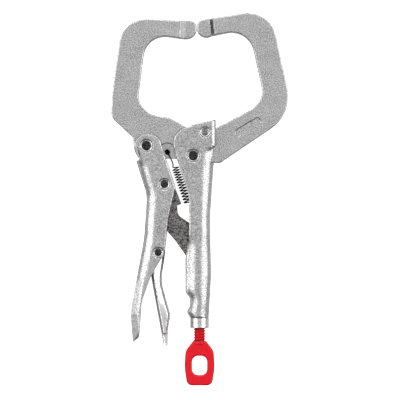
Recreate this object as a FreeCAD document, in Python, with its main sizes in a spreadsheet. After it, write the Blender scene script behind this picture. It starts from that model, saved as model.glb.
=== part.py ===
"""Locking C-clamp pliers, 280 mm long, as a parametric document.

The tool lies on its side: X runs across the jaws, Y from the adjusting screw towards the jaw
tips, Z up through the width of the handles.  The origin is on the axis of the jaw pivot, in
the plane that the handle cheeks rest on.
"""
import FreeCAD, Part
import math
import os
import Sketcher

# Every driving dimension, in millimetres (angles in degrees).
SIZES = {
    # handle channels: the web is `wall` thick, the cheeks take the width left beside the jaws
    "handle_width": 18.0,
    "wall": 2.4,
    "bend_round": 3.6,
    "cheek_boss": 8.7,
    "handle_tail_x": -45.4, "handle_tail_y": -140.3,
    "handle_end_y": -121.6,
    "end_bore_clearance": 0.3,
    # pivots: O is the origin, A joins moving handle and jaw, B handle and link, D the lever
    "pivot_a_x": -35.2, "pivot_a_y": 7.5,
    "pivot_b_x": -21.7, "pivot_b_y": -21.3,
    "pivot_d_x": -26.4, "pivot_d_y": -72.6,
    "jaw_rivet_x": 8.8, "jaw_rivet_y": 17.8,
    # rivets and their dished rims
    "large_rivet": 3.4, "link_rivet": 2.8, "small_rivet": 2.5,
    "rim_width": 1.2, "rim_depth": 0.5, "rivet_round": 0.6,
    "pin_clearance": 0.05,
    # jaws
    "jaw_thickness": 12.6, "jaw_side_gap": 0.3,
    "jaw_boss": 12.4, "jaw_gap": 0.4,
    "tip_x": 2.7, "tip_y": 95.6, "tip_gap": 0.1, "tip_half": 6.4, "tip_round": 5.8,
    "arm_width": 20.5,
    "left_reach": 62.0, "right_reach": 75.1,
    "jaw_edge_round": 1.0,
    "groove_width": 3.6, "groove_depth": 0.5,
    "spring_hole": 2.3, "spring_hole_x": -19.5, "spring_hole_y": 2.6,
    "lug_recess": 2.2, "lug_recess_radius": 7.0, "lug_bottom": 2.1,
    "panel_length": 22.0, "panel_width": 6.0, "panel_depth": 0.5, "panel_angle": 31.0,
    "panel_x": 41.2, "panel_y": 21.4,
    # toggle link
    "link_thickness": 8.0, "link_boss": 8.0, "link_end": 4.8, "link_gap": 0.5,
    # adjusting screw, its collar and the eye
    "screw_x": 4.7, "thrust_y": -78.0, "open_pivot_gap": 3.4,
    "screw_radius": 4.4, "thread_clearance": 0.08,
    "tip_radius": 3.2, "tip_length": 4.0,
    "collar_radius": 7.0, "collar_length": 8.0,
    "thread_shown": 9.2,
    "eye_half_width": 11.5, "eye_length": 34.0, "eye_thickness": 6.0,
    "eye_hole_half": 5.7, "eye_hole_length": 14.6, "eye_hole_drop": 11.7,
    "neck_half": 4.4,
    # release lever
    "lever_side_gap": 0.8, "lever_wall": 1.5, "lever_end_y": -142.8,
    # tension spring and the tab that holds it
    "spring_radius": 3.0, "wire_radius": 0.45,
    "coil_top_x": -13.4, "coil_top_y": -9.3,
    "coil_end_x": -4.1, "coil_end_y": -35.6,
    "tab_x": 1.6, "tab_y": -42.6, "tab_reach": 2.6, "tab_height": 3.4, "tab_thickness": 2.4,
    "tab_hole": 0.9,
}

# Widths that follow from what fits between the cheeks.
BETWEEN_CHEEKS = "jaw_thickness + jaw_side_gap + jaw_side_gap"
LEVER_WIDTH = BETWEEN_CHEEKS + " - lever_side_gap - lever_side_gap"

doc = FreeCAD.newDocument("LockingPliers")
sheet = doc.addObject("Spreadsheet::Sheet", "Sizes")
for row, (alias, value) in enumerate(SIZES.items(), start=1):
    sheet.set(f"A{row}", alias)
    sheet.set(f"B{row}", str(value))
    sheet.setAlias(f"B{row}", alias)
doc.recompute()


def amount(formula):
    """Value of a sum such as 'wall + 2.0 - tip_x', or of a plain number."""
    if not isinstance(formula, str):
        return float(formula)
    total = 0.0
    sign = 1.0
    for word in formula.split():
        if word in "+-":
            sign = 1.0 if word == "+" else -1.0
        else:
            total += sign * (SIZES[word] if word in SIZES else float(word))
    return total


def expression(formula):
    """The same sum as a document expression that reads the sheet."""
    if not isinstance(formula, str):
        return f"{formula:.4f} mm"
    words = ["0 mm"] if formula.startswith("-") else []
    for word in formula.split():
        if word in SIZES:
            words.append(f"Sizes.{word} * 1 mm")
        elif word in "+-":
            words.append(word)
        else:
            words.append(f"{word} mm")
    return " ".join(words)


# --- sketches ---------------------------------------------------------------------------

def new_body(name):
    body = doc.addObject("PartDesign::Body", name)
    body.Label = name
    return body


def new_sketch(body, name, lift="0 mm"):
    """Sketch parallel to XY, `lift` above the middle plane of the handle width."""
    sketch = body.newObject("Sketcher::SketchObject", name)
    role = [f for f in body.Origin.OriginFeatures if f.Role == "XY_Plane"][0]
    sketch.AttachmentSupport = [(role, "")]
    sketch.MapMode = "FlatFace"
    sketch.setExpression("AttachmentOffset.Base.z", f"Sizes.handle_width / 2 * 1 mm + ({lift})")
    doc.recompute()
    return sketch


def constrain(sketch, joins, dimensions):
    """Add constraints at one go; each dimension is (kind, what it holds, formula)."""
    first = len(sketch.Constraints) + len(joins)
    held = [Sketcher.Constraint(kind, *what, amount(formula)) for kind, what, formula in dimensions]
    sketch.addConstraint(joins + held)
    for index, (kind, what, formula) in enumerate(dimensions, start=first):
        sketch.setExpression(f"Constraints[{index}]", expression(formula))


def place_of(geometry, position, x, y):
    """Dimensions of a sketch point from the origin, both ways."""
    ends = (-1, 1, geometry, position)
    return [("DistanceX", ends, x), ("DistanceY", ends, y)]


def draw_circle(sketch, x, y, radius):
    centre = FreeCAD.Vector(amount(x), amount(y), 0)
    curve = Part.Circle(centre, FreeCAD.Vector(0, 0, 1), amount(radius))
    circle = sketch.addGeometry(curve, False)
    constrain(sketch, [], [("Radius", (circle,), radius)] + place_of(circle, 3, x, y))


def corner_arc(before, corner, after, radius):
    """Start, arc, end and sense of the round that joins two straight sides at a corner.

    The arc itself always runs anticlockwise, so on a right-hand turn it starts at `end`.
    """
    if radius == 0:
        return corner, None, corner, True
    to_before = (before - corner).normalize()
    to_after = (after - corner).normalize()
    half_angle = to_before.getAngle(to_after) / 2
    start = corner + to_before * (radius / math.tan(half_angle))
    end = corner + to_after * (radius / math.tan(half_angle))
    inward = (to_before + to_after).normalize()
    middle = corner + inward * (radius / math.sin(half_angle) - radius)
    left_turn = (corner - before).cross(after - corner).z > 0
    arc = Part.Arc(start, middle, end) if left_turn else Part.Arc(end, middle, start)
    return start, arc, end, left_turn


def draw_outline(sketch, corners):
    """Closed outline of straight sides with tangent arcs: each corner is (x, y, radius)."""
    points = [FreeCAD.Vector(amount(x), amount(y), 0) for x, y, radius in corners]
    count = len(points)
    pieces = []
    for i, point in enumerate(points):
        following = points[(i + 1) % count]
        pieces.append(corner_arc(points[i - 1], point, following, amount(corners[i][2])))
    lines = []
    for i in range(count):
        side = Part.LineSegment(pieces[i][2], pieces[(i + 1) % count][0])
        lines.append(sketch.addGeometry(side, False))
    joins, dimensions = [], []
    for i, (start, arc, end, left_turn) in enumerate(pieces):
        line_in, line_out = lines[i - 1], lines[i]
        x, y, radius = corners[i]
        if arc is None:
            joins.append(Sketcher.Constraint("Coincident", line_in, 2, line_out, 1))
            dimensions += place_of(line_out, 1, x, y)
            continue
        bend = sketch.addGeometry(arc, False)
        near, far = (1, 2) if left_turn else (2, 1)
        peak = sketch.addGeometry(Part.Point(points[i]), True)
        joins += [
            Sketcher.Constraint("Tangent", line_in, 2, bend, near),
            Sketcher.Constraint("Tangent", bend, far, line_out, 1),
            Sketcher.Constraint("PointOnObject", peak, 1, line_in),
            Sketcher.Constraint("PointOnObject", peak, 1, line_out),
        ]
        dimensions.append(("Radius", (bend,), radius))
        dimensions += place_of(peak, 1, x, y)
    constrain(sketch, joins, dimensions)


# --- features ---------------------------------------------------------------------------

def extrude(body, kind, name, width, corners=(), circles=()):
    """Pad or pocket that reaches an equal distance to both sides of the middle plane."""
    volume = body.Shape.Volume if body.Tip else 0
    sketch = new_sketch(body, name + "_outline")
    if corners:
        draw_outline(sketch, corners)
    for circle in circles:
        draw_circle(sketch, *circle)
    feature = body.newObject("PartDesign::" + kind, name)
    feature.Profile = sketch
    feature.SideType = "Symmetric"
    feature.setExpression("Length", expression(width))
    doc.recompute()
    assert feature.isValid(), name + " fails"
    change = body.Shape.Volume - volume
    assert change > 0.01 if kind == "Pad" else change < -0.01, name + " changes nothing"
    return feature


def pad(body, name, width, corners=(), circles=()):
    return extrude(body, "Pad", name, width, corners, circles)


def pocket(body, name, width, corners=(), circles=()):
    return extrude(body, "Pocket", name, width, corners, circles)


def through_holes(body, name, circles):
    return pocket(body, name, "handle_width + 10.0", circles=circles)


def recess(body, name, width, depth, corners=(), circles=()):
    """The same shallow recess in both flat faces of a plate `width` thick."""
    for side, sign in (("top", "+"), ("bottom", "-")):
        volume = body.Shape.Volume
        lift = f"0 mm {sign} (({expression(width)}) / 2 - ({expression(depth)}))"
        sketch = new_sketch(body, f"{name}_{side}_outline", lift)
        if corners:
            draw_outline(sketch, corners)
        for circle in circles:
            draw_circle(sketch, *circle)
        cut = body.newObject("PartDesign::Pocket", f"{name}_{side}")
        cut.Profile = sketch
        cut.Reversed = side == "top"
        cut.setExpression("Length", f"{expression(depth)} + 1 mm")
        doc.recompute()
        assert body.Shape.Volume < volume - 0.01, name + " cuts nothing"


def edge_middle(edge):
    return edge.valueAt((edge.FirstParameter + edge.LastParameter) / 2)


def fillet_rim(body, name, width, radius, keep):
    """Round the edges of both flat faces where `keep` accepts the middle of the edge."""
    half = amount(width) / 2
    names = []
    for number, edge in enumerate(body.Shape.Edges, start=1):
        box = edge.BoundBox
        level = abs(box.ZMin - SIZES["handle_width"] / 2)
        if box.ZLength < 0.01 and abs(level - half) < 0.01 and keep(edge_middle(edge)):
            names.append(f"Edge{number}")
    base = body.Tip
    feature = body.newObject("PartDesign::Fillet", name)
    feature.Base = (base, names)
    feature.setExpression("Radius", expression(radius))
    doc.recompute()
    assert feature.isValid(), name + " fails"


def rivet_seat(body, name, x, y, rivet):
    """Running hole through both cheeks, with a dished rim round it on the outside."""
    through_holes(body, name + "_hole", [(x, y, f"{rivet} + pin_clearance")])
    recess(body, name + "_rim", "handle_width", "rim_depth",
           circles=[(x, y, f"{rivet} + rim_width")])


# --- sub-parts --------------------------------------------------------------------------

def fixed_handle():
    """Pressed channel, open to the left, closed round the screw at its lower end."""
    body = new_body("fixed_handle")
    left_of_bore = "screw_x - screw_radius - end_bore_clearance"
    right_of_bore = "screw_x + screw_radius + end_bore_clearance"
    pad(body, "channel", "handle_width", [
        (17.2, 27.3, 0), (4.0, 24.6, 60.0), (-18.3, 17.2, 13.0), (-3.2, -30.5, 45.0),
        (-3.2, -65.8, 0.8), (-4.4, -66.6, 0.6), (-5.9, -77.0, 3.0), (-5.9, -102.8, 2.5),
        (-2.6, -106.8, 3.5), (-2.6, -113.2, 3.5), (-4.9, -117.6, 1.5), (-2.5, "handle_end_y", 0.5),
        (11.6, "handle_end_y", 0), (13.4, -90.0, 60.0), (12.5, -48.0, 90.0),
        (15.2, -7.0, 8.0), (17.2, -1.5, 5.0),
    ])
    fillet_rim(body, "bend", "handle_width", "bend_round",
               lambda point: point.x > 11.0 and -119.0 < point.y < 25.0)
    pocket(body, "inside", BETWEEN_CHEEKS, [
        (30.0, 45.0, 0), (-40.0, 45.0, 0), (-40.0, -66.2, 0), ("wall - 5.9", -66.2, 0),
        ("wall - 5.9", -98.0, 0), (left_of_bore, -103.0, 0),
        (left_of_bore, -140.0, 0), (right_of_bore, -140.0, 0),
        (right_of_bore, -112.0, 0), ("13.4 - wall", -90.0, 40.0),
        ("12.5 - wall", -48.0, 60.0), ("15.2 - wall", -7.0, 5.0), ("17.2 - wall", -5.4, 0),
        (30.0, -5.4, 0),
    ])
    pocket(body, "link_slot", "link_thickness + link_gap + link_gap", [
        (-12.0, -64.0, 0), (-12.0, -90.0, 0), (0.0, -90.0, 4.0), (0.0, -64.0, 0),
    ])
    rivet_seat(body, "jaw_pivot", 0, 0, "large_rivet")
    rivet_seat(body, "jaw_rivet", "jaw_rivet_x", "jaw_rivet_y", "small_rivet")
    pad(body, "spring_tab", "tab_thickness", [
        ("tab_x - tab_reach", "tab_y - tab_reach", 1.0), ("tab_x + tab_reach", "tab_y - tab_height", 1.0),
        (11.6, "tab_y - tab_height", 0), (11.6, "tab_y + tab_height", 0),
        ("tab_x + tab_reach", "tab_y + tab_height", 1.0), ("tab_x - tab_reach", "tab_y + tab_reach", 1.0),
    ])
    through_tab = [("tab_x", "tab_y", "tab_hole")]
    pocket(body, "spring_tab_hole", "tab_thickness + 1.0", circles=through_tab)


def moving_handle():
    """Pressed channel, open to the right; above its web only the two cheeks go on."""
    body = new_body("moving_handle")
    pad(body, "channel", "handle_width", [
        ("pivot_a_x - cheek_boss", "pivot_a_y + cheek_boss", 8.6),
        ("pivot_a_x + cheek_boss", "pivot_a_y + cheek_boss", 8.4), (-20.3, -3.4, 25.0),
        (-13.4, -23.8, 3.5), (-18.8, -47.0, 40.0), (-21.6, -73.0, 20.0), (-32.6, -92.0, 20.0),
        (-39.0, -110.0, 25.0), ("handle_tail_x + 4.6", -136.5, 1.0),
        ("handle_tail_x", "handle_tail_y", 0), (-47.3, -118.0, 60.0), (-37.0, -62.0, 90.0),
        (-34.8, -30.0, 30.0), (-43.0, -3.8, 0), (-40.4, -3.2, 1.0), (-44.0, 3.0, 8.0),
    ])
    fillet_rim(body, "bend", "handle_width", "bend_round", on_back)
    pocket(body, "inside", BETWEEN_CHEEKS, [
        (0.0, 40.0, 0), (-70.0, 40.0, 0), (-70.0, -2.4, 0), (-41.2, -2.4, 0),
        ("wall - 34.8", -30.0, 28.0), ("wall - 37.0", -62.0, 85.0),
        ("wall - 47.3", -118.0, 55.0), ("handle_tail_x + wall", "handle_tail_y - 6.0", 0),
        (0.0, "handle_tail_y - 6.0", 0),
    ])
    rivet_seat(body, "jaw_pivot", "pivot_a_x", "pivot_a_y", "large_rivet")
    rivet_seat(body, "link_pivot", "pivot_b_x", "pivot_b_y", "link_rivet")
    rivet_seat(body, "lever_pivot", "pivot_d_x", "pivot_d_y", "small_rivet")


def on_back(point):
    """True on the bent back of the moving handle, below the cut-away top of its web."""
    limit = -33.0 if point.y > -95.0 else -42.2
    return -136.0 < point.y < -8.0 and point.x < limit


def moving_jaw():
    """Forged C arm on the left, with the pivot boss and the lug that the spring hooks into."""
    body = new_body("moving_jaw")
    pad(body, "arm", "jaw_thickness", [
        ("tip_x - tip_gap", "tip_y + tip_half", "tip_round"), (-9.2, "tip_y + 5.7", 12.0),
        (-52.9, 103.6, 20.5), ("1.4 - left_reach", 52.0, 200.0), ("- left_reach", 29.0, 9.0),
        (-45.4, 13.7, 3.0),
        ("pivot_a_x - cheek_boss", -1.0, 8.4), (-27.5, -1.0, 2.0), (-20.5, "- lug_bottom", 0),
        (-11.8, "- lug_bottom", 0), (0.0, -6.0, 0), (1.4, 11.8, 0), (-3.9, 21.0, 0),
        (-17.6, 28.4, 14.0), ("arm_width - left_reach - 1.3", 33.0, 15.5),
        (-35.3, 91.5, 16.0), ("tip_x - tip_gap", 86.7, "tip_round + 2.2"),
    ])
    fillet_rim(body, "edges", "jaw_thickness", "jaw_edge_round",
               lambda point: point.y > 19.0 and point.x < -4.5)
    pad(body, "boss", "jaw_thickness", circles=[(0, 0, "jaw_boss")])
    recess(body, "lug", "jaw_thickness", "lug_recess",
           circles=[("spring_hole_x", "spring_hole_y", "lug_recess_radius")])
    recess(body, "tip_groove", "jaw_thickness", "groove_depth", [
        (-10.2, 110.0, 0), (-10.2, 80.0, 0), ("groove_width - 10.2", 80.0, 0),
        ("groove_width - 10.2", 110.0, 0),
    ])
    through_holes(body, "holes", [
        (0, 0, "large_rivet + pin_clearance"),
        ("pivot_a_x", "pivot_a_y", "large_rivet + pin_clearance"),
        ("spring_hole_x", "spring_hole_y", "spring_hole"),
    ])


def fixed_jaw():
    """Forged C arm on the right; its tongue is held between the fixed handle's cheeks."""
    body = new_body("fixed_jaw")
    pad(body, "arm", "jaw_thickness", [
        ("tip_x + tip_gap", "tip_y + tip_half + 0.3", "tip_round"), (10.0, 102.5, 20.0),
        (57.7, 110.4, 22.0), ("right_reach", 31.6, 30.0), (20.2, -5.5, 2.5), (12.0, -5.2, 0),
        (2.6, 11.6, 0), (-2.8, 20.4, 0), (17.5, 21.0, 4.0),
        ("right_reach - arm_width - 0.6", 40.3, 16.5), (41.8, 95.5, 17.0),
        (13.6, 90.1, 4.0), (11.0, 88.9, 1.0), ("tip_x + tip_gap", 88.9, "tip_round + 1.2"),
    ])
    fillet_rim(body, "edges", "jaw_thickness", "jaw_edge_round",
               lambda point: point.x > 20.6 or (point.x > 2.7 and point.y > 60.0))
    through_holes(body, "seat", [(0, 0, "jaw_boss + jaw_gap")])
    through_holes(body, "rivet_hole", [("jaw_rivet_x", "jaw_rivet_y", "small_rivet + pin_clearance")])
    recess(body, "tip_groove", "jaw_thickness", "groove_depth", [
        (10.8, 110.0, 0), (14.0, 80.0, 0), ("groove_width + 14.0", 80.0, 0),
        ("groove_width + 10.8", 110.0, 0),
    ])
    recess(body, "panel", "jaw_thickness", "panel_depth", panel_corners())


def panel_corners():
    """Corners of the slanted panel, with ends that are all but half round."""
    turn = math.radians(SIZES["panel_angle"])
    along = SIZES["panel_length"] / 2
    across = SIZES["panel_width"] / 2
    corners = []
    for u, v in ((-along, -across), (along, -across), (along, across), (-along, across)):
        x = SIZES["panel_x"] + u * math.cos(turn) - v * math.sin(turn)
        y = SIZES["panel_y"] + u * math.sin(turn) + v * math.cos(turn)
        corners.append((round(x, 3), round(y, 3), across * 0.97))
    return corners


def toggle_link():
    """Thick forged link: it hangs from the moving handle and bears on the screw's tip."""
    body = new_body("toggle_link")
    pad(body, "forging", "link_thickness", [
        ("pivot_b_x - link_boss", "pivot_b_y + link_boss", 6.4),
        (-17.9, "pivot_b_y + link_boss", 6.0), (-9.0, -36.2, 0.8),
        (-12.3, -37.4, 1.0), (-11.6, -44.6, 5.0), (-1.0, -52.0, 6.0),
        ("screw_x + link_end", -64.0, 9.0), ("screw_x + link_end", "thrust_y - link_end", 4.7),
        ("screw_x - link_end", "thrust_y - link_end", 4.7), (-13.6, -63.6, 8.0),
        (-20.6, -55.6, 1.5), (-28.6, -40.0, 12.0),
    ])
    fillet_rim(body, "edges", "link_thickness", 0.6, lambda point: True)
    through_holes(body, "pivot_hole", [("pivot_b_x", "pivot_b_y", "link_rivet + pin_clearance")])


def release_lever():
    """Pressed channel lever, its web towards the fingers, with a nose beside the link."""
    body = new_body("release_lever")
    pad(body, "channel", LEVER_WIDTH, [
        (-28.6, -59.4, 1.5), (-24.6, -59.4, 1.5), (-21.0, -72.0, 8.0), (-24.4, -94.5, 30.0),
        (-17.0, -119.5, 9.0), (-19.2, -131.0, 12.0), (-19.2, "lever_end_y", 1.0),
        (-22.3, "lever_end_y", 1.0), (-27.6, -113.5, 60.0), (-31.6, -91.0, 30.0),
        (-31.8, -76.0, 8.0),
    ])
    pocket(body, "inside", LEVER_WIDTH + " - lever_wall - lever_wall", [
        (-40.0, -50.0, 0), (-40.0, -150.0, 0), (-20.8, -150.0, 0), ("- 19.2 - lever_wall", -131.0, 10.0),
        ("- 17.0 - lever_wall", -119.8, 8.0), ("- 24.4 - lever_wall", -94.8, 28.0),
        ("- 21.0 - lever_wall", -72.0, 8.0), (-24.0, -50.0, 0),
    ])
    through_holes(body, "pivot_hole", [("pivot_d_x", "pivot_d_y", "small_rivet + pin_clearance")])


def rivet(name, x, y, radius):
    """Rivet through both cheeks, flush with them and rounded at its two ends."""
    body = new_body(name)
    pad(body, "shank", "handle_width", circles=[(x, y, radius)])
    fillet_rim(body, "end_rounds", "handle_width", "rivet_round", lambda point: True)


def turn_about_screw(body, outline):
    """Solid of revolution about the screw's axis, from (radius, y) points of a half outline."""
    sketch = new_sketch(body, "half_outline")
    draw_outline(sketch, [(f"screw_x + {radius}", y, 0) for radius, y in outline])
    foot = FreeCAD.Vector(amount("screw_x"), -200, 0)
    axis = sketch.addGeometry(Part.LineSegment(foot, foot + FreeCAD.Vector(0, 200, 0)), True)
    dimensions = place_of(axis, 1, "screw_x", -200.0) + [("Distance", (axis,), 200.0)]
    constrain(sketch, [Sketcher.Constraint("Vertical", axis)], dimensions)
    turned = body.newObject("PartDesign::Revolution", "turned")
    turned.Profile = sketch
    turned.ReferenceAxis = (sketch, ["Axis0"])
    turned.Angle = 360
    doc.recompute()
    assert turned.isValid(), body.Label + " is not turned"


def screw_collar():
    """Threaded collar on the end of the fixed handle."""
    bore = "screw_radius + thread_clearance"
    turn_about_screw(new_body("screw_collar"), [
        (bore, "handle_end_y"), ("collar_radius - 0.5", "handle_end_y"),
        ("collar_radius", "handle_end_y - 0.5"),
        ("collar_radius", "handle_end_y - collar_length + 0.8"),
        ("collar_radius - 0.8", "handle_end_y - collar_length"),
        (bore, "handle_end_y - collar_length"),
    ])


def screw_tip():
    """Plain end of the screw, which the link bears on."""
    end = "thrust_y - link_end - open_pivot_gap"
    turn_about_screw(new_body("screw_tip"), [
        ("0.0", end), ("tip_radius - 0.8", end), ("tip_radius", end + " - 0.8"),
        ("tip_radius", end + " - tip_length"), ("0.0", end + " - tip_length"),
    ])


def adjusting_screw():
    """Threaded shank with the flat eye that it is turned by."""
    body = new_body("adjusting_screw")
    shoulder = "handle_end_y - collar_length - thread_shown"
    foot = shoulder + " - eye_length"
    left = "screw_x - eye_half_width"
    right = "screw_x + eye_half_width"
    pad(body, "eye", "eye_thickness", [
        ("screw_x - neck_half", shoulder, 1.5), (left + " + 0.9", shoulder + " - 7.9", 9.0),
        (left, shoulder + " - 20.0", 40.0), (left + " + 2.2", foot, 4.5),
        (right + " - 2.2", foot, 4.5), (right, shoulder + " - 20.0", 40.0),
        (right + " - 0.9", shoulder + " - 7.9", 9.0), ("screw_x + neck_half", shoulder, 1.5),
    ])
    upper = shoulder + " - eye_hole_drop"
    lower = upper + " - eye_hole_length"
    pocket(body, "eye_hole", "handle_width + 10.0", [
        ("screw_x - eye_hole_half", upper, 4.6), ("screw_x - eye_hole_half", lower, 4.6),
        ("screw_x + eye_hole_half", lower, 4.6), ("screw_x + eye_hole_half", upper, 4.6),
    ])
    fillet_rim(body, "eye_edges", "eye_thickness", 1.5, lambda point: True)
    top = "thrust_y - link_end - open_pivot_gap - tip_length"
    turn_about_screw(body, [
        ("0.0", top), ("screw_radius - 0.8", top), ("screw_radius", top + " - 0.8"),
        ("screw_radius", shoulder + " - 2.6"), ("0.0", shoulder + " - 2.6"),
    ])


def bent_wire(points, radius):
    """Round wire along straight runs, with a ball at every bend."""
    solid = Part.makeSphere(radius, points[0])
    for start, end in zip(points, points[1:]):
        way = end - start
        solid = solid.fuse(Part.makeCylinder(radius, way.Length, start, way))
        solid = solid.fuse(Part.makeSphere(radius, end))
    return solid


def tension_spring():
    """Envelope of the coil with a bent wire hook at each end, from the jaw's lug to the tab."""
    middle = SIZES["handle_width"] / 2
    wire = SIZES["wire_radius"]
    over_lug = middle + SIZES["jaw_thickness"] / 2 - SIZES["lug_recess"] + 1.3 * wire
    over_tab = middle + SIZES["tab_thickness"] / 2 + 1.5 * wire
    hole_x, hole_y = SIZES["spring_hole_x"], SIZES["spring_hole_y"]
    tab_x, tab_y = SIZES["tab_x"], SIZES["tab_y"]
    coil_top = FreeCAD.Vector(SIZES["coil_top_x"], SIZES["coil_top_y"], middle)
    coil_end = FreeCAD.Vector(SIZES["coil_end_x"], SIZES["coil_end_y"], middle)
    upper_hook = bent_wire([
        FreeCAD.Vector(hole_x, hole_y, middle - 1.0), FreeCAD.Vector(hole_x, hole_y, over_lug),
        FreeCAD.Vector(hole_x + 3.4, -SIZES["lug_bottom"] - 1.9, over_lug), coil_top,
    ], wire)
    lower_hook = bent_wire([
        coil_end, FreeCAD.Vector(tab_x - SIZES["tab_reach"] - 0.8, tab_y + 3.2, over_tab),
        FreeCAD.Vector(tab_x, tab_y, over_tab), FreeCAD.Vector(tab_x, tab_y, middle - 1.2),
    ], wire)
    way = coil_end - coil_top
    coil = Part.makeCylinder(SIZES["spring_radius"], way.Length, coil_top, way)
    spring = doc.addObject("Part::Feature", "tension_spring")
    spring.Label = "tension_spring"
    spring.Shape = coil.fuse(upper_hook).fuse(lower_hook)


fixed_handle()
moving_handle()
moving_jaw()
fixed_jaw()
toggle_link()
release_lever()
screw_collar()
screw_tip()
adjusting_screw()
tension_spring()
rivet("jaw_pivot_rivet", 0, 0, "large_rivet")
rivet("handle_pivot_rivet", "pivot_a_x", "pivot_a_y", "large_rivet")
rivet("link_pivot_rivet", "pivot_b_x", "pivot_b_y", "link_rivet")
rivet("lever_pivot_rivet", "pivot_d_x", "pivot_d_y", "small_rivet")
rivet("fixed_jaw_rivet", "jaw_rivet_x", "jaw_rivet_y", "small_rivet")
doc.recompute()

for item in doc.Objects:
    assert "Invalid" not in item.State and "Error" not in item.State, item.Label + " failed"

sub_parts = [item for item in doc.Objects if item.TypeId in ("PartDesign::Body", "Part::Feature")]
os.makedirs("parts", exist_ok=True)
for item in sub_parts:
    shape = item.Shape
    assert not shape.isNull() and shape.isValid(), item.Label + " has no valid shape"
    print(item.Label, len(shape.Solids), round(shape.Volume, 1))
for item in sub_parts:
    item.Shape.exportStep(f"parts/{item.Label}.step")
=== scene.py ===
"""Locking C-clamp pliers, lying flat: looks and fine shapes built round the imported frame."""
import math

import bpy
from mathutils import Matrix, Vector


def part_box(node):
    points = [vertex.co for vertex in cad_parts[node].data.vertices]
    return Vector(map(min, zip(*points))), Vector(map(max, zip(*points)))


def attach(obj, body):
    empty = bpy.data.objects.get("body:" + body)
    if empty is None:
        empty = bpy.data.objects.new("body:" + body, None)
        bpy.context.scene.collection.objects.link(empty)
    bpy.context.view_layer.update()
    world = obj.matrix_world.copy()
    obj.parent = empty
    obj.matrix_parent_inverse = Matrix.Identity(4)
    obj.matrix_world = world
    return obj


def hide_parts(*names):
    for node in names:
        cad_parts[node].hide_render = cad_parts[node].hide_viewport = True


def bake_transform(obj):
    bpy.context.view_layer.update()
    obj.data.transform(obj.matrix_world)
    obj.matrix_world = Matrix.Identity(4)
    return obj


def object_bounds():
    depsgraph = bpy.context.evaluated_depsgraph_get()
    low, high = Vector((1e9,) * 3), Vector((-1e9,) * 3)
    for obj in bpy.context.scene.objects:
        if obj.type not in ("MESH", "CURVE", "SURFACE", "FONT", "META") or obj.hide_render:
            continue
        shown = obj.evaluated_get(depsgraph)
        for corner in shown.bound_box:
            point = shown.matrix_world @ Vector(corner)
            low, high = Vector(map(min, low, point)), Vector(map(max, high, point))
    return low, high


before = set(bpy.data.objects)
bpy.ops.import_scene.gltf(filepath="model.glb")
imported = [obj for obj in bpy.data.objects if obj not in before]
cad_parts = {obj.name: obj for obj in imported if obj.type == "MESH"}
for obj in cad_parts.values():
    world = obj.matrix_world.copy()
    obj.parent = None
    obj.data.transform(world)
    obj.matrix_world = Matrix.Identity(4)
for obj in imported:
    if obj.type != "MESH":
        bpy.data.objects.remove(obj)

cad_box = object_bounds()

# --- Table, light and camera -------------------------------------------------------------
# The tool lies on a sheet of lit white acrylic, with a soft box on each side and one beyond
# the jaws, and is seen from straight above through a long lens, with the jaws at the top.

MM = 0.001
lowest, highest = (Vector(corner) for corner in cad_box)
middle = (lowest + highest) / 2
SHOWN_WIDTH = 300 * MM
CAMERA_HEIGHT = 2.4
CAMERA_SHIFT = (0.2 * MM, -0.5 * MM)
SENSOR_MM = 36.0
FAR_LIMIT = 20.0

camera_data = bpy.data.cameras.new("camera")
camera_data.sensor_width = SENSOR_MM
camera_data.lens = SENSOR_MM * CAMERA_HEIGHT / SHOWN_WIDTH
camera_data.clip_end = FAR_LIMIT
camera = bpy.data.objects.new("camera", camera_data)
bpy.context.scene.collection.objects.link(camera)
camera.location = (middle.x + CAMERA_SHIFT[0], middle.y + CAMERA_SHIFT[1],
                   highest.z + CAMERA_HEIGHT)
bpy.context.scene.camera = camera
bpy.context.scene.view_settings.view_transform = "Standard"


def soft_box(name, place, size, watts):
    """Rectangular area light aimed at the middle of the tool."""
    data = bpy.data.lights.new(name, "AREA")
    data.shape = "RECTANGLE"
    data.size, data.size_y = size
    data.energy = watts
    light = bpy.data.objects.new(name, data)
    bpy.context.scene.collection.objects.link(light)
    light.location = middle + Vector(place)
    light.rotation_euler = (-Vector(place)).to_track_quat("-Z", "Y").to_euler()


SIDE_BOX_SIZE = (0.95, 1.2)
SIDE_BOX_WATTS = 6.4
FAR_BOX_SIZE = (1.4, 0.5)
FAR_BOX_WATTS = 6.0
soft_box("left_soft_box", (-1.0, 0.2, 0.75), SIDE_BOX_SIZE, SIDE_BOX_WATTS)
soft_box("right_soft_box", (1.0, 0.2, 0.75), SIDE_BOX_SIZE, SIDE_BOX_WATTS)
soft_box("far_soft_box", (0.0, 1.2, 0.8), FAR_BOX_SIZE, FAR_BOX_WATTS)

# The room is mid grey overhead, dark at the horizon, and dimmer towards the near side.
world = bpy.data.worlds.new("studio")
bpy.context.scene.world = world
world.use_nodes = True
sky_nodes, sky_links = world.node_tree.nodes, world.node_tree.links
direction = sky_nodes.new("ShaderNodeTexCoord")
split = sky_nodes.new("ShaderNodeSeparateXYZ")
ramp = sky_nodes.new("ShaderNodeValToRGB")
sky_links.new(direction.outputs["Generated"], split.inputs["Vector"])
sky_links.new(split.outputs["Z"], ramp.inputs["Fac"])
near_side = sky_nodes.new("ShaderNodeMapRange")
for socket, value in (("From Min", -0.9), ("From Max", 0.6), ("To Min", 0.48), ("To Max", 1.5)):
    near_side.inputs[socket].default_value = value
sky_links.new(split.outputs["Y"], near_side.inputs["Value"])
sky_links.new(near_side.outputs["Result"], sky_nodes["Background"].inputs["Strength"])
sky_links.new(ramp.outputs["Color"], sky_nodes["Background"].inputs["Color"])
HORIZON = (0.06, 0.06, 0.062, 1)
OVERHEAD = (0.62, 0.62, 0.63, 1)
SKY_STEPS = ((0.15, 0.08), (0.4, 0.45), (0.8, 0.66))
BLUER = 1.01
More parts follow.
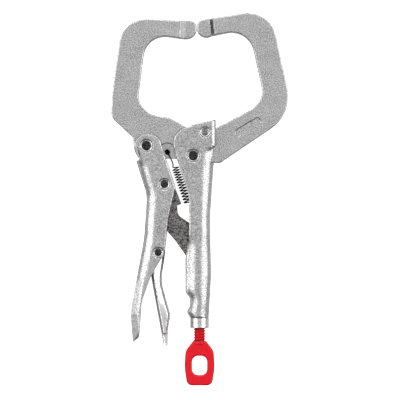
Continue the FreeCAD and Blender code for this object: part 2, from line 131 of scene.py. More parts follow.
for end, colour in enumerate((HORIZON, OVERHEAD)):
    ramp.color_ramp.elements[end].position = end
    ramp.color_ramp.elements[end].color = colour
for height, grey in SKY_STEPS:
    step = ramp.color_ramp.elements.new(height)
    step.color = (grey, grey, grey * BLUER, 1)

TABLE_SIZE = 6.0
TABLE_GAP = 0.2 * MM
bpy.ops.mesh.primitive_plane_add(size=TABLE_SIZE,
                                 location=(middle.x, middle.y, lowest.z - TABLE_GAP))
table = bpy.context.object
table.name = "white_sheet"
acrylic = bpy.data.materials.new("lit_acrylic")
acrylic.use_nodes = True
sheet_shader = acrylic.node_tree.nodes["Principled BSDF"]
sheet_shader.inputs["Roughness"].default_value = 0.9
sheet_shader.inputs["Emission Color"].default_value = (1.0, 1.0, 1.0, 1)
sheet_nodes, sheet_links = acrylic.node_tree.nodes, acrylic.node_tree.links
# The sheet is bright to the eye, and much dimmer as a light on the tool.
seen = sheet_nodes.new("ShaderNodeLightPath")
for socket, unseen_level, seen_level in (("Emission Strength", 0.2, 0.95),
                                         ("Base Color", 0.4, 0.75)):
    level = sheet_nodes.new("ShaderNodeMapRange")
    level.inputs["To Min"].default_value = unseen_level
    level.inputs["To Max"].default_value = seen_level
    sheet_links.new(seen.outputs["Is Camera Ray"], level.inputs["Value"])
    sheet_links.new(level.outputs["Result"], sheet_shader.inputs[socket])
table.data.materials.append(acrylic)

# --- Forged jaws -------------------------------------------------------------------------
# Both C arms are drop forgings, trimmed, tumbled and nickel plated, which leaves an even
# mottled grey grain.  The floor of the groove across each tip has a flat painted tone:
# painted shade on the fixed jaw and a painted highlight on the moving jaw.


def add_socket(group, name, direction, kind="NodeSocketFloat", value=None):
    """Add an input or an output to a node group."""
    socket = group.interface.new_socket(name=name, in_out=direction, socket_type=kind)
    if value is not None:
        socket.default_value = value


# Reach and samples of the painted crevice shade.
PAINTED_SHADE_REACH = 1.8 * MM
PAINTED_SHADE_SAMPLES = 8
BUMP_DEPTH = 0.2 * MM


def grain_and_painted_shade():
    """Node group: mottled tone and fine height of tumbled metal, with painted shade darkening its
    crevices.
    """
    group = bpy.data.node_groups.new("grain_and_painted_shade", "ShaderNodeTree")
    add_socket(group, "Dark", "INPUT", "NodeSocketColor", (0.4, 0.4, 0.4, 1))
    add_socket(group, "Light", "INPUT", "NodeSocketColor", (0.7, 0.7, 0.7, 1))
    add_socket(group, "Grain Scale", "INPUT", value=900.0)
    add_socket(group, "Cloud Scale", "INPUT", value=60.0)
    add_socket(group, "Roughness Low", "INPUT", value=0.3)
    add_socket(group, "Roughness High", "INPUT", value=0.5)
    add_socket(group, "Color", "OUTPUT", "NodeSocketColor")
    add_socket(group, "Roughness", "OUTPUT")
    add_socket(group, "Height", "OUTPUT")
    nodes, links = group.nodes, group.links
    given = nodes.new("NodeGroupInput")
    result = nodes.new("NodeGroupOutput")
    place = nodes.new("ShaderNodeTexCoord")
    fine = nodes.new("ShaderNodeTexNoise")
    fine.inputs["Detail"].default_value = 2.0
    fine.inputs["Roughness"].default_value = 0.6
    cloud = nodes.new("ShaderNodeTexNoise")
    cloud.inputs["Detail"].default_value = 2.0
    for noise, scale in ((fine, "Grain Scale"), (cloud, "Cloud Scale")):
        links.new(place.outputs["Object"], noise.inputs["Vector"])
        links.new(given.outputs[scale], noise.inputs["Scale"])
    spread = nodes.new("ShaderNodeMapRange")
    spread.inputs["From Min"].default_value = 0.36
    spread.inputs["From Max"].default_value = 0.66
    links.new(fine.outputs["Fac"], spread.inputs["Value"])
    drift = nodes.new("ShaderNodeMath")
    drift.operation = "MULTIPLY_ADD"
    drift.inputs[1].default_value = 0.4
    drift.inputs[2].default_value = -0.2
    links.new(cloud.outputs["Fac"], drift.inputs[0])
    tone = nodes.new("ShaderNodeMath")
    tone.operation = "ADD"
    tone.use_clamp = True
    links.new(spread.outputs["Result"], tone.inputs[0])
    links.new(drift.outputs["Value"], tone.inputs[1])
    blend = nodes.new("ShaderNodeMix")
    blend.data_type = "RGBA"
    links.new(tone.outputs["Value"], blend.inputs["Factor"])
    links.new(given.outputs["Dark"], blend.inputs["A"])
    links.new(given.outputs["Light"], blend.inputs["B"])
    # Painted shade: ambient occlusion darkens the colour in crevices, at contacts and under raised
    # edges, in every metal made from this group.
    corner = nodes.new("ShaderNodeAmbientOcclusion")
    corner.samples = PAINTED_SHADE_SAMPLES
    corner.inputs["Distance"].default_value = PAINTED_SHADE_REACH
    painted_shade = nodes.new("ShaderNodeMapRange")
    painted_shade.inputs["From Min"].default_value = 0.3
    painted_shade.inputs["From Max"].default_value = 0.8
    painted_shade.inputs["To Min"].default_value = 0.2
    links.new(corner.outputs["AO"], painted_shade.inputs["Value"])
    shaded_colour = nodes.new("ShaderNodeVectorMath")
    shaded_colour.operation = "SCALE"
    links.new(blend.outputs["Result"], shaded_colour.inputs[0])
    links.new(painted_shade.outputs["Result"], shaded_colour.inputs["Scale"])
    links.new(shaded_colour.outputs["Vector"], result.inputs["Color"])
    rough = nodes.new("ShaderNodeMapRange")
    links.new(tone.outputs["Value"], rough.inputs["Value"])
    links.new(given.outputs["Roughness High"], rough.inputs["To Min"])
    links.new(given.outputs["Roughness Low"], rough.inputs["To Max"])
    links.new(rough.outputs["Result"], result.inputs["Roughness"])
    links.new(fine.outputs["Fac"], result.inputs["Height"])
    return group


grain_and_shade = grain_and_painted_shade()


def metal(name, dark, light, grain_scale, cloud_scale, rough, bump, metallic=1.0):
    """Metal with the tumbled grain in its colour, roughness and height, and painted shade in its
    crevices.
    """
    material = bpy.data.materials.new(name)
    material.use_nodes = True
    nodes, links = material.node_tree.nodes, material.node_tree.links
    shader = nodes["Principled BSDF"]
    shader.inputs["Metallic"].default_value = metallic
    mottle_and_shade = nodes.new("ShaderNodeGroup")
    mottle_and_shade.node_tree = grain_and_shade
    mottle_and_shade.inputs["Dark"].default_value = (*dark, 1)
    mottle_and_shade.inputs["Light"].default_value = (*light, 1)
    mottle_and_shade.inputs["Grain Scale"].default_value = grain_scale
    mottle_and_shade.inputs["Cloud Scale"].default_value = cloud_scale
    mottle_and_shade.inputs["Roughness Low"].default_value = rough[0]
    mottle_and_shade.inputs["Roughness High"].default_value = rough[1]
    height = nodes.new("ShaderNodeBump")
    height.inputs["Strength"].default_value = bump
    height.inputs["Distance"].default_value = BUMP_DEPTH
    links.new(mottle_and_shade.outputs["Color"], shader.inputs["Base Color"])
    links.new(mottle_and_shade.outputs["Roughness"], shader.inputs["Roughness"])
    links.new(mottle_and_shade.outputs["Height"], height.inputs["Height"])
    links.new(height.outputs["Normal"], shader.inputs["Normal"])
    return material


plated = metal("plated_steel", (0.27, 0.267, 0.267), (0.84, 0.835, 0.83), 1300.0, 70.0,
               (0.25, 0.38), 0.32)

JAW_EDGE = 0.5 * MM
JAW_EDGE_ANGLE = 60.0
HALF_WIDTH = (highest.z - lowest.z) / 2
MID_LEVEL = lowest.z + HALF_WIDTH
WELD_GAP = 0.002 * MM
SAME_PLANE_ANGLE = 0.4
ROUNDING_STEPS = 3
FLATS_WEIGHT = 80


def only(piece):
    """Make a piece the one selected and active object."""
    bpy.ops.object.select_all(action="DESELECT")
    piece.select_set(True)
    bpy.context.view_layer.objects.active = piece


def welded_copy(node, name):
    """Copy of a carried-over node with its loose triangles joined into whole faces."""
    piece = bpy.data.objects.new(name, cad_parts[node].data.copy())
    bpy.context.scene.collection.objects.link(piece)
    only(piece)
    bpy.ops.mesh.customdata_custom_splitnormals_clear()
    bpy.ops.object.mode_set(mode="EDIT")
    bpy.ops.mesh.select_all(action="SELECT")
    bpy.ops.mesh.remove_doubles(threshold=WELD_GAP)
    bpy.ops.mesh.dissolve_limited(angle_limit=math.radians(SAME_PLANE_ANGLE))
    bpy.ops.object.mode_set(mode="OBJECT")
    return piece


def roll_edges(piece, width, least_angle=50.0):
    """Round every sharp edge a little, as tumbling does."""
    only(piece)
    rounding = piece.modifiers.new("rounding", "BEVEL")
    rounding.width = width
    rounding.segments = ROUNDING_STEPS
    rounding.limit_method = "ANGLE"
    rounding.angle_limit = math.radians(least_angle)
    rounding.use_clamp_overlap = False
    bpy.ops.object.modifier_apply(modifier="rounding")


def stand_for(piece, node, body, material, smooth_angle=35.0):
    """Finish a piece that takes a carried-over node's place."""
    only(piece)
    bpy.ops.object.shade_smooth_by_angle(angle=math.radians(smooth_angle))
    flats = piece.modifiers.new("flats", "WEIGHTED_NORMAL")
    flats.keep_sharp = True
    flats.weight = FLATS_WEIGHT
    bpy.ops.object.modifier_apply(modifier="flats")
    piece.data.materials.clear()
    piece.data.materials.append(material)
    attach(piece, body)
    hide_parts(node)


GROOVE_WIDTH = 3.6 * MM
GROOVE_SLACK = 0.2 * MM
GROOVE_LEVELS = (5.5 * MM, 6.1 * MM)
TIPS_FROM_Y = 80 * MM
LEAN_FROM_Y = 110 * MM
LEAN_OVER = 30 * MM
LEVEL_FACE = 0.99


def at_groove(piece, start, slant):
    """Faces on the floor of the shallow groove across a jaw's tip."""
    for face in piece.data.polygons:
        x, y, z = face.center
        left = start + slant * (LEAN_FROM_Y - y) / LEAN_OVER
        level = abs(z - MID_LEVEL)
        flat = abs(face.normal.z) > LEVEL_FACE and GROOVE_LEVELS[0] < level < GROOVE_LEVELS[1]
        across = left - GROOVE_SLACK < x < left + GROOVE_WIDTH + GROOVE_SLACK
        if flat and y > TIPS_FROM_Y and across:
            yield face


# The groove floors carry flat painted tones: painted shade on the fixed jaw, a painted highlight
# on the moving jaw.
painted_shade_groove = metal("shaded_groove", (0.05, 0.05, 0.05), (0.16, 0.158, 0.155), 900.0, 120.0,
                    (0.4, 0.55), 0.5)
painted_highlight_groove = metal("groove_floor_highlight", (0.50, 0.495, 0.49), (0.80, 0.795, 0.79), 1200.0, 90.0,
                      (0.28, 0.38), 0.2)
for node, body, floor_metal, start, slant in (
        ("fixed_jaw", "fixed_handle", painted_shade_groove, 10.8 * MM, 3.2 * MM),
        ("moving_jaw", "moving_jaw", painted_highlight_groove, -10.2 * MM, 0.0)):
    jaw = welded_copy(node, node + "_forging")
    roll_edges(jaw, JAW_EDGE, JAW_EDGE_ANGLE)
    stand_for(jaw, node, body, plated)
    jaw.data.materials.append(floor_metal)
    for face in at_groove(jaw, start, slant):
        face.material_index = 1

# --- Handles -----------------------------------------------------------------------------
# Each handle is one channel pressed from 2.4 mm sheet, with generous bends along its back.
# The edges are rolled over by tumbling, and each rivet hole is countersunk.

EDGE_ROUND = 1.0 * MM
RIM_WIDTH = 1.2 * MM
RIM_DEPTH = 0.35 * MM
RIM_SLACK = 0.05 * MM
SEAT_OVERLAP = 0.5 * MM
SEAT_DEPTH = 0.7 * MM
SEAT_WELD = 0.01 * MM
FULLNESS = 0.93
SHEET = 2.4 * MM
SHEET_SLACK = 0.1 * MM
THINNEST = 0.6 * MM
LEAST_LEVEL = 0.3 * MM


def slice_up(piece, across, step, first, last):
    """Cut a piece's faces at even steps along X or Y, so that its skin can be curved."""
    only(piece)
    bpy.ops.object.mode_set(mode="EDIT")
    normal = (1, 0, 0) if across == "X" else (0, 1, 0)
    count = int((last - first) / step)
    for number in range(count + 1):
        place = first + (last - first) * number / count
        bpy.ops.mesh.select_all(action="SELECT")
        bpy.ops.mesh.bisect(plane_co=tuple(place * side for side in normal), plane_no=normal)
    bpy.ops.object.mode_set(mode="OBJECT")


def between(value, start, end):
    """Smooth step from 0 at start to 1 at end."""
    share = min(max((value - start) / (end - start), 0.0), 1.0)
    return share * share * (3 - 2 * share)


def along(y, points):
    """X of an edge that runs through (y, x) points, in order of rising y."""
    for (y0, x0), (y1, x1) in zip(points, points[1:]):
        if y <= y1:
            share = max((y - y0) / (y1 - y0), 0.0)
            return x0 + (x1 - x0) * share
    return points[-1][1]


def press_down(piece, level_at, half_width, sheet):
    """Press the sheet down to the share of the half width that level_at gives.

    The inner faces go down only where the sheet would get thinner than its least.
    """
    for vertex in piece.data.vertices:
        limit = half_width * level_at(vertex.co.x / MM, vertex.co.y / MM)
        above = vertex.co.z - MID_LEVEL
        if abs(above) < half_width - sheet + SHEET_SLACK:
            limit = max(limit - THINNEST, LEAST_LEVEL)
        if abs(above) > limit:
            vertex.co.z = MID_LEVEL + math.copysign(limit, above)


def countersink(piece, rivet_node):
    """Turn the flat seat round a rivet hole into a sloping rim."""
    low, high = (Vector(corner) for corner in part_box(rivet_node))
    centre = (low + high) / 2
    radius = (high.x - low.x) / 2
    for vertex in piece.data.vertices:
        out = (vertex.co - centre).xy.length - radius
        above = vertex.co.z - MID_LEVEL
        on_rim = -SEAT_OVERLAP < out < RIM_WIDTH + RIM_SLACK
        if on_rim and abs(above) > HALF_WIDTH - SEAT_DEPTH:
            share = min(max(out / RIM_WIDTH, 0.0), 1.0)
            depth = RIM_DEPTH * (1 - share)
            vertex.co.z = MID_LEVEL + math.copysign(HALF_WIDTH - depth, above)
    only(piece)
    bpy.ops.object.mode_set(mode="EDIT")
    bpy.ops.mesh.select_all(action="SELECT")
    bpy.ops.mesh.remove_doubles(threshold=SEAT_WELD)
    bpy.ops.object.mode_set(mode="OBJECT")


def bend(share):
    """Level across a bend: 1 where the sheet is flat, falling away to its outer edge."""
    return math.sqrt(1 - (FULLNESS * min(max(share, 0.0), 1.0)) ** 2)


# Edges as (y, x) points and levels are in millimetres from here to the end of the lever.
FIXED_RIGHT = ((-121.6, 11.6), (-90.0, 13.4), (-48.0, 12.5), (-7.0, 15.0), (0.0, 17.2))
FIXED_LEFT = ((-121.6, -2.5), (-117.6, -4.9), (-113.2, -2.6), (-106.8, -2.6), (-102.8, -5.9),
              (-77.0, -5.9), (-66.0, -4.4))
FLAT_UNTIL = 5.0
CHEEK_CORNER = Vector((7.9, 3.2))
CHEEK_SLOPE = 0.45
CHEEK_STEP = 0.8
TUBE_STARTS, TUBE_FULL = -58.0, -72.0
# The tube stays this high on its left, where the link passes in and out through a slot.
SLOT_LEVEL = 0.62


def fixed_handle_level(x, y):
    """Round tube at the lower end, a bend along the right side, and a flat cheek on top."""
    right = along(y, FIXED_RIGHT)
    bent = bend((x - FLAT_UNTIL) / (right - FLAT_UNTIL))
    cheek_line = CHEEK_CORNER.y + CHEEK_SLOPE * (x - CHEEK_CORNER.x)
    level = bent + (1 - bent) * between(y, cheek_line - CHEEK_STEP, cheek_line + CHEEK_STEP)
    left = along(y, FIXED_LEFT)
    centre, reach = (left + right) / 2, (right - left) / 2
    tube = bend(abs(x - centre) / reach)
    if x < centre:
        tube = max(tube, SLOT_LEVEL)
    return level + (tube - level) * between(y, TUBE_STARTS, TUBE_FULL)


fixed_handle = welded_copy("fixed_handle", "fixed_handle_pressing")
roll_edges(fixed_handle, EDGE_ROUND)
slice_up(fixed_handle, "X", 0.9 * MM, -12 * MM, 17 * MM)
slice_up(fixed_handle, "Y", 2.5 * MM, -120 * MM, -50 * MM)
slice_up(fixed_handle, "Y", 1.2 * MM, -49 * MM, 10 * MM)
press_down(fixed_handle, fixed_handle_level, HALF_WIDTH, SHEET)
for rivet in ("jaw_pivot_rivet", "fixed_jaw_rivet"):
    countersink(fixed_handle, rivet)
stand_for(fixed_handle, "fixed_handle", "fixed_handle", plated)

MOVING_BACK = ((-140.3, -45.4), (-118.0, -47.0), (-90.0, -42.4), (-62.0, -37.2), (-30.0, -35.2),
               (-3.8, -42.6))
BACK_BEND = 9.0
MOUTH = 0.35
BACK_TOP, BACK_TOP_FLAT = -7.0, -3.0
TAIL_STARTS, TAIL_FULL = -91.5, -94.5
TAIL_FLAT = 5.4
TAIL_FALL = 0.09
TAIL_CUT = Vector((-45.2, -139.6))
TAIL_CUT_SLOPE = 1.5
TAIL_CUT_STEP = 0.8
LEVER_BOSS = Vector((-26.4, -72.6))
BOSS_RADIUS = 7.6
BOSS_STEP = 0.5
PINCH = 0.04
PINCH_STARTS, PINCH_FULL = -70.0, -80.0


def moving_handle_level(x, y):
    """A bend along the back, flattened towards the tail, and a cheek pinched in below the boss."""
    from_back = x - along(y, MOVING_BACK)
    level = bend(1 - from_back / BACK_BEND)
    slope = min(1 - (TAIL_FLAT - from_back) * TAIL_FALL, 1.0)
    level += (slope - level) * between(y, TAIL_STARTS, TAIL_FULL)
    level += (1 - level) * between(y, BACK_TOP, BACK_TOP_FLAT)
    if y < LEVER_BOSS.y:
        to_boss = (Vector((x, y)) - LEVER_BOSS).length
        pinch = between(to_boss, BOSS_RADIUS - BOSS_STEP, BOSS_RADIUS + BOSS_STEP)
        level *= 1 - PINCH * pinch * between(y, PINCH_STARTS, PINCH_FULL)
    past_cut = (x - TAIL_CUT.x) * TAIL_CUT_SLOPE - (y - TAIL_CUT.y)
    return level + (MOUTH - level) * between(past_cut, 0.0, TAIL_CUT_STEP)


moving_handle = welded_copy("moving_handle", "moving_handle_pressing")
roll_edges(moving_handle, EDGE_ROUND)
slice_up(moving_handle, "X", 0.9 * MM, -47 * MM, -14 * MM)
slice_up(moving_handle, "Y", 2.5 * MM, -132 * MM, -4 * MM)
slice_up(moving_handle, "Y", 0.7 * MM, -140 * MM, -133 * MM)
press_down(moving_handle, moving_handle_level, HALF_WIDTH, SHEET)
for rivet in ("handle_pivot_rivet", "link_pivot_rivet", "lever_pivot_rivet"):
    countersink(moving_handle, rivet)
stand_for(moving_handle, "moving_handle", "moving_handle", plated)

# --- Toggle link -------------------------------------------------------------------------
# A drop forging left dark from its heat treatment, with light specks where the scale is off.
# It is the one unplated piece.

scaled = metal("dark_forging", (0.03, 0.029, 0.029), (0.34, 0.33, 0.325), 900.0, 200.0,
               (0.40, 0.6), 0.8)
link = welded_copy("toggle_link", "toggle_link_forging")
stand_for(link, "toggle_link", "toggle_link", scaled)

# --- Release lever -----------------------------------------------------------------------
# Pressed from thin strip into a channel whose web faces the fingers, then polished and
# plated bright.

LEVER_RIGHT = ((-142.8, -19.2), (-131.0, -19.2), (-119.5, -17.6), (-94.5, -24.2), (-72.0, -21.3),
               (-59.4, -24.6))
LEVER_LEFT = ((-142.8, -22.3), (-113.5, -27.6), (-91.0, -31.6), (-59.0, -31.8))
lever_low, lever_high = (Vector(corner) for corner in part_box("release_lever"))
LEVER_HALF = (lever_high.z - lever_low.z) / 2
LEVER_SHEET = 1.5 * MM
LEVER_EDGE = 0.3 * MM
LEVER_ROLL = 2.4
LEVER_WEB_BEND = 1.6
LEVER_FALL = 0.075
FALL_STARTS = 2.0
FALL_FROM_Y, FALL_UNTIL_Y = -104.0, -118.0
SLIT_STARTS, SLIT_FULL = 1.2, 1.6
SLIT_FROM_Y, SLIT_FULL_Y = -133.0, -134.0


def release_lever_level(x, y):
    """Cheek rolled in along its left edge, sloping to the web, with a slit at its lower end."""
    left, right = along(y, LEVER_LEFT), along(y, LEVER_RIGHT)
    rolled = bend(1 - (x - left) / LEVER_ROLL)
    fall = LEVER_FALL * (1 - between(y, FALL_FROM_Y, FALL_UNTIL_Y))
    to_web = bend(1 - (right - x) / LEVER_WEB_BEND)
    level = min(rolled, to_web) - fall * max(x - left - FALL_STARTS, 0.0)
    slit = between(x - left, SLIT_STARTS, SLIT_FULL) * between(y, SLIT_FROM_Y, SLIT_FULL_Y)
    return level + (MOUTH - level) * slit


bright = metal("bright_steel", (0.70, 0.695, 0.69), (0.90, 0.895, 0.89), 500.0, 60.0,
               (0.22, 0.34), 0.08)
release_lever = welded_copy("release_lever", "release_lever_pressing")
roll_edges(release_lever, LEVER_EDGE)
slice_up(release_lever, "X", 0.7 * MM, -31.5 * MM, -17.5 * MM)
slice_up(release_lever, "Y", 2.5 * MM, -132 * MM, -60 * MM)
slice_up(release_lever, "Y", 1.0 * MM, -142 * MM, -133 * MM)
press_down(release_lever, release_lever_level, LEVER_HALF, LEVER_SHEET)
stand_for(release_lever, "release_lever", "release_lever", bright)

# --- Screw collar and screw tip ----------------------------------------------------------
# The collar is turned from bar, pressed on to the end of the fixed handle and threaded; the
# screw's plain tip bears on the link.  Both are bright.


def finish_node(node, material):
    """Give a carried-over node its material in place of the plain one."""
    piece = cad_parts[node]
    piece.data.materials.clear()
    piece.data.materials.append(material)


def select_end_faces(piece):
    """Select the faces with more than four corners, which are the ends of a cylinder."""
    only(piece)
    bpy.ops.object.mode_set(mode="EDIT")
    bpy.ops.mesh.select_mode(type="FACE")
    bpy.ops.mesh.select_all(action="DESELECT")
    bpy.ops.object.mode_set(mode="OBJECT")
    for face in piece.data.polygons:
        face.select = len(face.vertices) > 4
    bpy.ops.object.mode_set(mode="EDIT")


turned_steel = metal("turned_steel", (0.52, 0.515, 0.51), (0.92, 0.915, 0.91), 900.0, 60.0,
                     (0.10, 0.20), 0.04)
finish_node("screw_tip", turned_steel)

collar_low, collar_high = (Vector(corner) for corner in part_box("screw_collar"))
collar_middle = (collar_low + collar_high) / 2
collar_length = collar_high.y - collar_low.y
collar_radius = (collar_high.x - collar_low.x) / 2
COLLAR_BORE = 4.48 * MM
COLLAR_EDGE = 0.6 * MM
bpy.ops.object.select_all(action="DESELECT")
bpy.ops.mesh.primitive_cylinder_add(vertices=64, radius=collar_radius, depth=collar_length)
collar = bpy.context.object
collar.name = "turned_collar"
select_end_faces(collar)
bpy.ops.mesh.inset(thickness=collar_radius - COLLAR_BORE)
bpy.ops.mesh.bridge_edge_loops()
bpy.ops.mesh.select_all(action="SELECT")
bpy.ops.mesh.normals_make_consistent(inside=False)
bpy.ops.object.mode_set(mode="OBJECT")
collar.data.transform(Matrix.Rotation(math.radians(90), 4, "X"))
collar.data.transform(Matrix.Translation(collar_middle))
roll_edges(collar, COLLAR_EDGE)
stand_for(collar, "screw_collar", "fixed_handle", turned_steel)

# --- Rivets ------------------------------------------------------------------------------
# Solid steel rivets, blackened, set flush in their countersinks with slightly crowned ends.
# One is shaped and the other four are copies of it at their own size.

blackened = metal("black_oxide", (0.012, 0.012, 0.013), (0.085, 0.082, 0.082), 1000.0, 300.0,
                  (0.30, 0.45), 0.4)
worn_oxide = metal("worn_oxide", (0.10, 0.098, 0.097), (0.42, 0.415, 0.41), 900.0, 300.0,
                   (0.25, 0.40), 0.3)
RIVETS = {
    "jaw_pivot_rivet": "fixed_handle", "handle_pivot_rivet": "moving_handle",
    "link_pivot_rivet": "moving_handle", "lever_pivot_rivet": "moving_handle",
    "fixed_jaw_rivet": "fixed_handle",
}
CROWN_STEPS = ((0.1, 0.012), (0.12, 0.01), (0.22, 0.008), (0.25, 0.003))
RIVET_SINK = 0.55 * MM
CROWN_SMOOTH_ANGLE = 25.0


def crowned_rivet():
    """Rivet of unit radius and unit half length with crowned, chamfered ends."""
    bpy.ops.object.select_all(action="DESELECT")
    bpy.ops.mesh.primitive_cylinder_add(vertices=48, radius=1.0, depth=2.0)
    piece = bpy.context.object
    for inset, rise in CROWN_STEPS:
        select_end_faces(piece)
        bpy.ops.mesh.inset(thickness=inset)
        bpy.ops.object.mode_set(mode="OBJECT")
        for face in piece.data.polygons:
            if face.select and len(face.vertices) > 4:
                for index in face.vertices:
                    vertex = piece.data.vertices[index]
                    vertex.co.z += math.copysign(rise, vertex.co.z)
    return piece


pattern = crowned_rivet()
for node, body in RIVETS.items():
    low, high = (Vector(corner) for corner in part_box(node))
    rivet = bpy.data.objects.new(node + "_head", pattern.data.copy())
    bpy.context.scene.collection.objects.link(rivet)
    radius = (high.x - low.x) / 2
    half_length = (high.z - low.z) / 2 - RIVET_SINK
    place = Matrix.Translation((low + high) / 2)
    rivet.data.transform(place @ Matrix.Diagonal((radius, radius, half_length, 1)))
    coat = worn_oxide if node == "fixed_jaw_rivet" else blackened
    stand_for(rivet, node, body, coat, CROWN_SMOOTH_ANGLE)
bpy.data.objects.remove(pattern)

# --- Tension spring ----------------------------------------------------------------------
# Music wire, blackened, wound into an open coil that is stretched between the jaw's lug and
# a tab inside the fixed handle, with a long hook at each end.

WIRE = 0.45 * MM
COIL_RADIUS = 2.5 * MM
COIL_TURNS = 13
COIL_SIDES = 10
COIL_STEPS = 20
COIL_SQUEEZE = 0.85
HOOK_SIDES = 12
HOOK_PROFILE = 1.1 * MM
HOOK_RADIUS = 1.08 * MM
HOOK_PITCH = 2.1 * MM
HOOK_TURNS = 2
HOOK_DEPTH = 2.4 * MM
COIL_TOP = Vector((-13.4 * MM, -9.3 * MM, MID_LEVEL))
COIL_END = Vector((-4.1 * MM, -35.6 * MM, MID_LEVEL))
LUG_HOLE = Vector((-19.5 * MM, 2.6 * MM, MID_LEVEL))
LUG_FACE = 4.7 * MM
TAB_HOLE = Vector((1.6 * MM, -42.6 * MM, MID_LEVEL))
TAB_FACE = 1.9 * MM


def wind(name, sides, profile_radius, coil_radius, pitch, turns, steps, turned=0.0):
    """Closed profile swept along a helix about Z, starting at Z = 0, with its ends filled."""
    bpy.ops.object.select_all(action="DESELECT")
    bpy.ops.mesh.primitive_circle_add(vertices=sides, radius=profile_radius)
    piece = bpy.context.object
    piece.name = name
    upright = Matrix.Rotation(math.radians(90), 4, "X")
    spun = Matrix.Rotation(math.radians(turned), 4, "Y")
    piece.data.transform(Matrix.Translation((coil_radius, 0, 0)) @ spun @ upright)
    helix = piece.modifiers.new("helix", "SCREW")
    helix.angle = 2 * math.pi * turns
    helix.screw_offset = pitch * turns
    helix.steps = round(steps * turns)
    helix.render_steps = helix.steps
    helix.use_smooth_shade = True
    bpy.ops.object.modifier_apply(modifier="helix")
    bpy.ops.object.mode_set(mode="EDIT")
    bpy.ops.mesh.select_mode(type="EDGE")
    bpy.ops.mesh.select_all(action="DESELECT")
    bpy.ops.mesh.select_non_manifold()
    bpy.ops.mesh.fill_holes(sides=sides)
    bpy.ops.mesh.select_all(action="SELECT")
    bpy.ops.mesh.normals_make_consistent(inside=False)
    bpy.ops.object.mode_set(mode="OBJECT")
    return piece


def bent_wire(name, points, radius):
    """Round wire on a smooth line through a few points, as a mesh."""
    data = bpy.data.curves.new(name, "CURVE")
    data.dimensions = "3D"
    data.bevel_depth = radius
    data.bevel_resolution = 3
    data.resolution_u = 6
    data.use_fill_caps = True
    line = data.splines.new("NURBS")
    line.points.add(len(points) - 1)
    for point, place in zip(line.points, points):
        point.co = (*place, 1)
    line.order_u = 3
    line.use_endpoint_u = True
    wire = bpy.data.objects.new(name, data)
    bpy.context.scene.collection.objects.link(wire)
    only(wire)
    bpy.ops.object.convert(target="MESH")
    return bpy.context.object


coil_way = COIL_END - COIL_TOP
coil = wind("tension_spring_wire", COIL_SIDES, WIRE, COIL_RADIUS, coil_way.length / COIL_TURNS,
            COIL_TURNS, COIL_STEPS)
# The turns near the jaw sit closer together than those near the tab.
for vertex in coil.data.vertices:
    share = vertex.co.z / coil_way.length
    vertex.co.z *= COIL_SQUEEZE + (1 - COIL_SQUEEZE) * share
facing = coil_way.to_track_quat("Z", "Y").to_matrix().to_4x4()
coil.data.transform(Matrix.Translation(COIL_TOP) @ facing)
coil_start = Matrix.Translation(COIL_TOP) @ facing @ Vector((COIL_RADIUS, 0, 0))
coil_finish = Matrix.Translation(COIL_TOP) @ facing @ Vector((COIL_RADIUS, 0, coil_way.length))
over_lug = Vector((0, 0, LUG_FACE))
over_tab = Vector((0, 0, TAB_FACE))
upper_hook = bent_wire("upper_hook", [
    LUG_HOLE - Vector((0, 0, 2.2 * MM)), LUG_HOLE + Vector((0.3 * MM, 0, 1.0 * MM)),
    LUG_HOLE + over_lug + Vector((0.4 * MM, -0.6 * MM, 0)),
    LUG_HOLE + over_lug + Vector((3.2 * MM, -6.0 * MM, 0)),
    COIL_TOP + Vector((-1.6 * MM, 2.6 * MM, 2.6 * MM)),
    COIL_TOP + Vector((-2.4 * MM, 0, 1.0 * MM)), coil_start,
], WIRE)
lower_hook = bent_wire("lower_hook", [
    coil_finish, COIL_END + Vector((0.5 * MM, -1.6 * MM, 0.8 * MM)),
    TAB_HOLE + over_tab + Vector((-3.0 * MM, 4.5 * MM, 0.2 * MM)),
    TAB_HOLE + over_tab + Vector((-0.6 * MM, 0.9 * MM, 0)),
    TAB_HOLE + Vector((0, 0, 1.0 * MM)), TAB_HOLE - Vector((0, 0, 2.0 * MM)),
], WIRE)
# The upper hook ends in a thick coil of black wire that fills the lug's hole: partly the real
# hook, partly a dark plug standing in for the shade inside the hole.
hook_and_hole_shade = wind("hook_and_hole_shade", HOOK_SIDES, HOOK_PROFILE, HOOK_RADIUS, HOOK_PITCH, HOOK_TURNS,
                COIL_STEPS)
hook_and_hole_shade.data.transform(Matrix.Translation(LUG_HOLE - Vector((0, 0, HOOK_DEPTH))))
only(coil)
hook_and_hole_shade.select_set(True)
upper_hook.select_set(True)
lower_hook.select_set(True)
bpy.ops.object.join()
spring_black = metal("spring_steel", (0.006, 0.006, 0.007), (0.03, 0.03, 0.032), 900.0, 200.0,
                     (0.25, 0.4), 0.1)
coil.data.materials.append(spring_black)
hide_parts("tension_spring")
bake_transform(coil)

# --- Adjusting screw ---------------------------------------------------------------------
# One forging with a rolled thread and a flat eye that takes a tommy bar, dipped in red
# lacquer.  The thread runs on through the collar and up inside the handle.

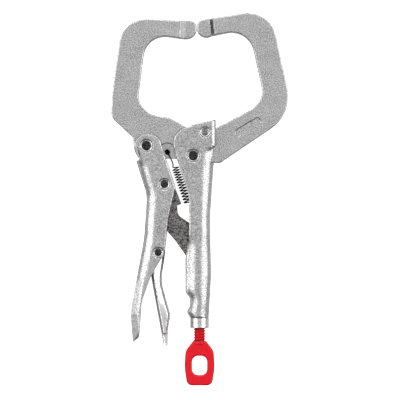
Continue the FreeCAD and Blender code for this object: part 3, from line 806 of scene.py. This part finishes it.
THREAD_PITCH = 2.0 * MM
THREAD_PROFILE = 1.1 * MM
THREAD_STEPS = 28
THREAD_SUNK = 0.2 * MM
ROOT = 3.8 * MM
CORE_END = 0.5 * MM
EYE_LENGTH = 34.0 * MM
EYE_CUT = 0.6 * MM
OVERLAP = 1.0 * MM
LACQUER_SHINE = 0.22
screw_low, screw_high = (Vector(corner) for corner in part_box("adjusting_screw"))
SCREW_X = (screw_low.x + screw_high.x) / 2
SHOULDER = screw_low.y + EYE_LENGTH

screw = welded_copy("adjusting_screw", "adjusting_screw_lacquered")
bpy.ops.object.mode_set(mode="EDIT")
bpy.ops.mesh.select_all(action="SELECT")
bpy.ops.mesh.bisect(plane_co=(0, SHOULDER - EYE_CUT, 0), plane_no=(0, 1, 0), use_fill=True,
                    clear_outer=True)
bpy.ops.object.mode_set(mode="OBJECT")

thread_length = screw_high.y - SHOULDER + OVERLAP
lay_along_y = Matrix.Rotation(math.radians(-90), 4, "X")
foot_of_thread = Matrix.Translation((SCREW_X, SHOULDER - OVERLAP, MID_LEVEL))
thread = wind("thread", 3, THREAD_PROFILE, ROOT - THREAD_SUNK, THREAD_PITCH,
              round(thread_length / THREAD_PITCH) - 1, THREAD_STEPS, turned=90.0)
thread.data.transform(foot_of_thread @ lay_along_y)
bpy.ops.object.select_all(action="DESELECT")
bpy.ops.mesh.primitive_cylinder_add(vertices=48, radius=ROOT, depth=thread_length + 2 * OVERLAP)
core = bpy.context.object
core.data.transform(Matrix.Translation((0, 0, thread_length / 2)))
core.data.transform(foot_of_thread @ lay_along_y)
roll_edges(core, CORE_END)
only(screw)
thread.select_set(True)
core.select_set(True)
bpy.ops.object.join()

red = metal("red_coat", (0.68, 0.004, 0.014), (0.78, 0.006, 0.020), 350.0, 80.0,
            (0.30, 0.42), 0.15, metallic=0.0)
lacquer = red.node_tree.nodes["Principled BSDF"]
lacquer.inputs["Specular IOR Level"].default_value = LACQUER_SHINE
stand_for(screw, "adjusting_screw", "screw", red)
